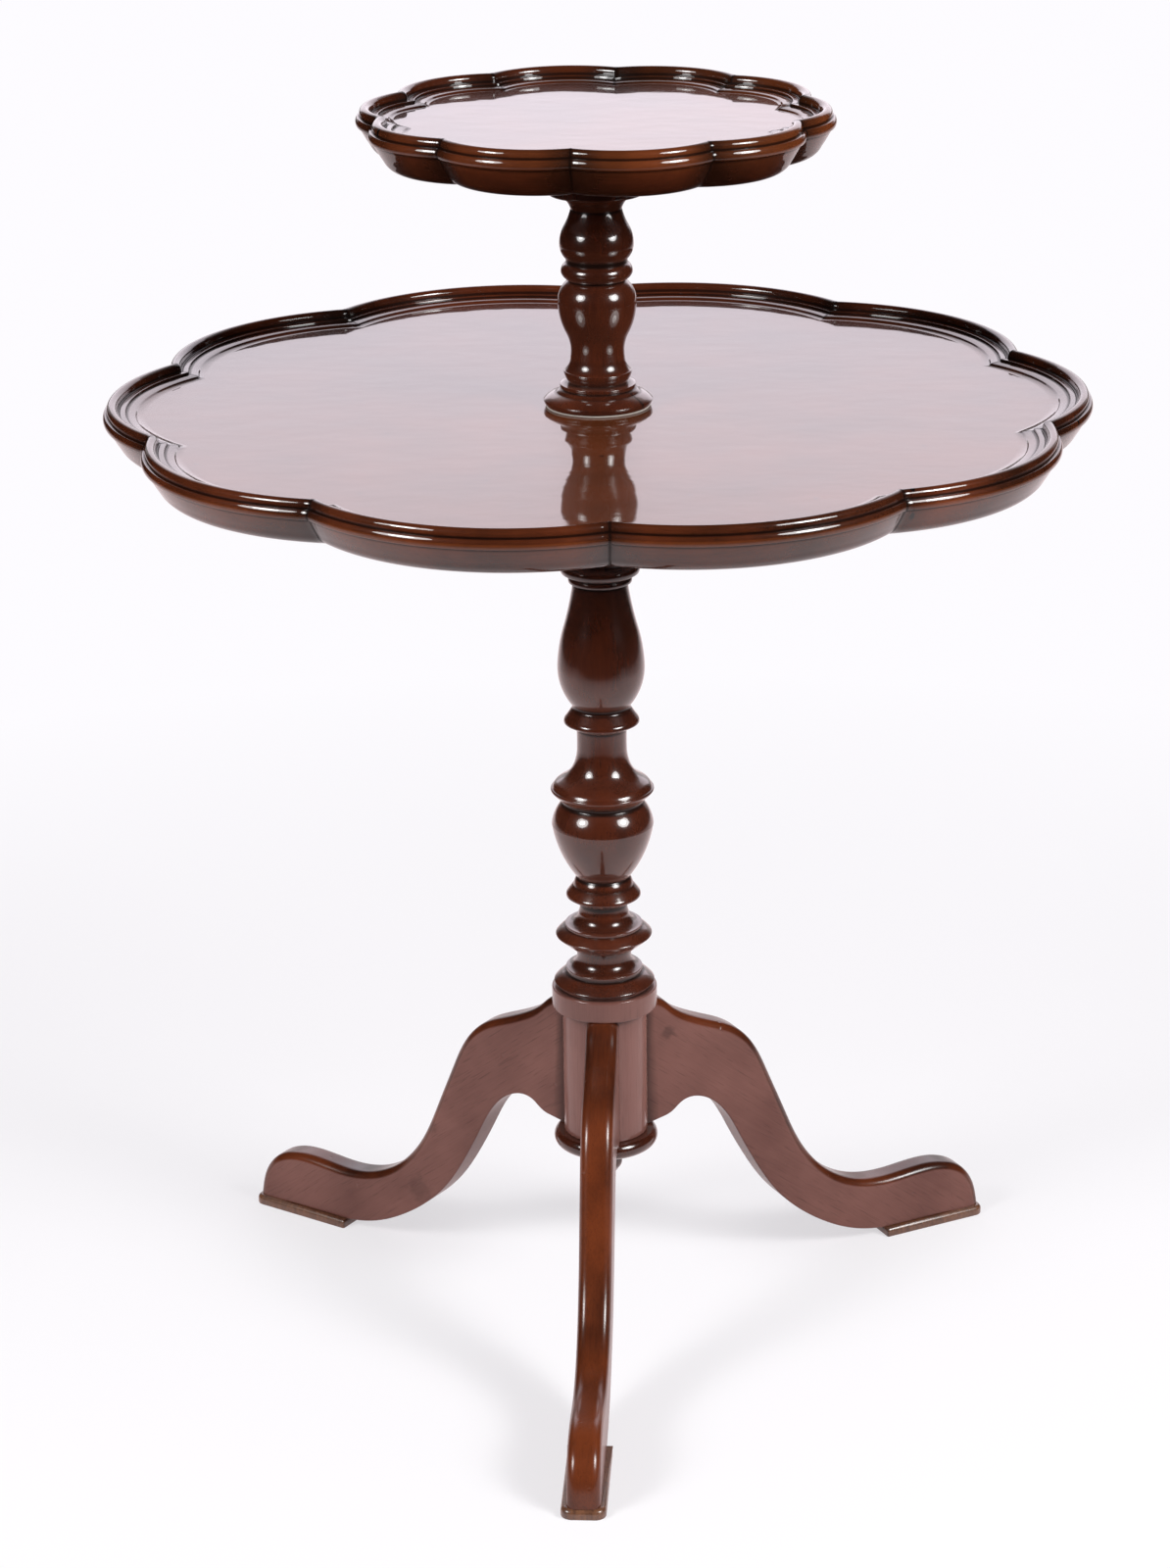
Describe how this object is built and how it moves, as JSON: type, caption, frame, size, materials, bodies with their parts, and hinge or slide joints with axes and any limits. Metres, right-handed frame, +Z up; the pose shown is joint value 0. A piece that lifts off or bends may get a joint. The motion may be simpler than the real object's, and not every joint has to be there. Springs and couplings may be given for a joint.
{
  "type": "tiered side table",
  "caption": "Two-tier side table: lobed, dished wooden trays that turn on a turned column with cabriole tripod legs and pad feet.",
  "frame": {"origin": "on the floor under the column's axis", "axes": "+Z up along the column, front leg along -Y, +X to the right of someone facing the front leg"},
  "size_m": [0.608, 0.5996, 0.801],
  "materials": {
    "tray_mahogany": "French-polished, high gloss",
    "turned_mahogany": "French-polished, gloss, darkened in the hollows",
    "leg_mahogany": "French-polished, gloss",
    "pad_wood": "waxed, paler than the legs",
    "peg_wood": "plain",
    "felt": "matt",
    "washer_leather": "waxed",
    "screw_steel": "dull"
  },
  "bodies": {
    "stand": {"foot_pad_front": "pad_wood", "foot_pad_right": "pad_wood", "foot_pad_left": "pad_wood", "leg_front": "leg_mahogany", "leg_right": "leg_mahogany", "leg_left": "leg_mahogany", "foot_pegs": "peg_wood", "hub": "turned_mahogany", "base_cap": "turned_mahogany", "pendant": "turned_mahogany", "base_cap_screws": "screw_steel", "lower_stem": "turned_mahogany", "lower_leather_washer": "washer_leather", "felt_ring": "felt", "upper_stem": "turned_mahogany", "upper_leather_washer": "washer_leather"},
    "lower_tray": {"lower_tray": "tray_mahogany", "lower_tray_boss": "turned_mahogany", "lower_boss_screws": "screw_steel"},
    "upper_tray": {"upper_tray": "tray_mahogany", "upper_tray_boss": "turned_mahogany", "upper_boss_screws": "screw_steel"}
  },
  "joints": [
    {"name": "lower_tray_spin", "type": "hinge", "parent": "stand", "child": "lower_tray", "pos_m": [0, 0, 0.583], "axis": [0, 0, 1], "continuous": true},
    {"name": "upper_tray_spin", "type": "hinge", "parent": "stand", "child": "upper_tray", "pos_m": [0, 0, 0.76], "axis": [0, 0, 1], "continuous": true}
  ]
}
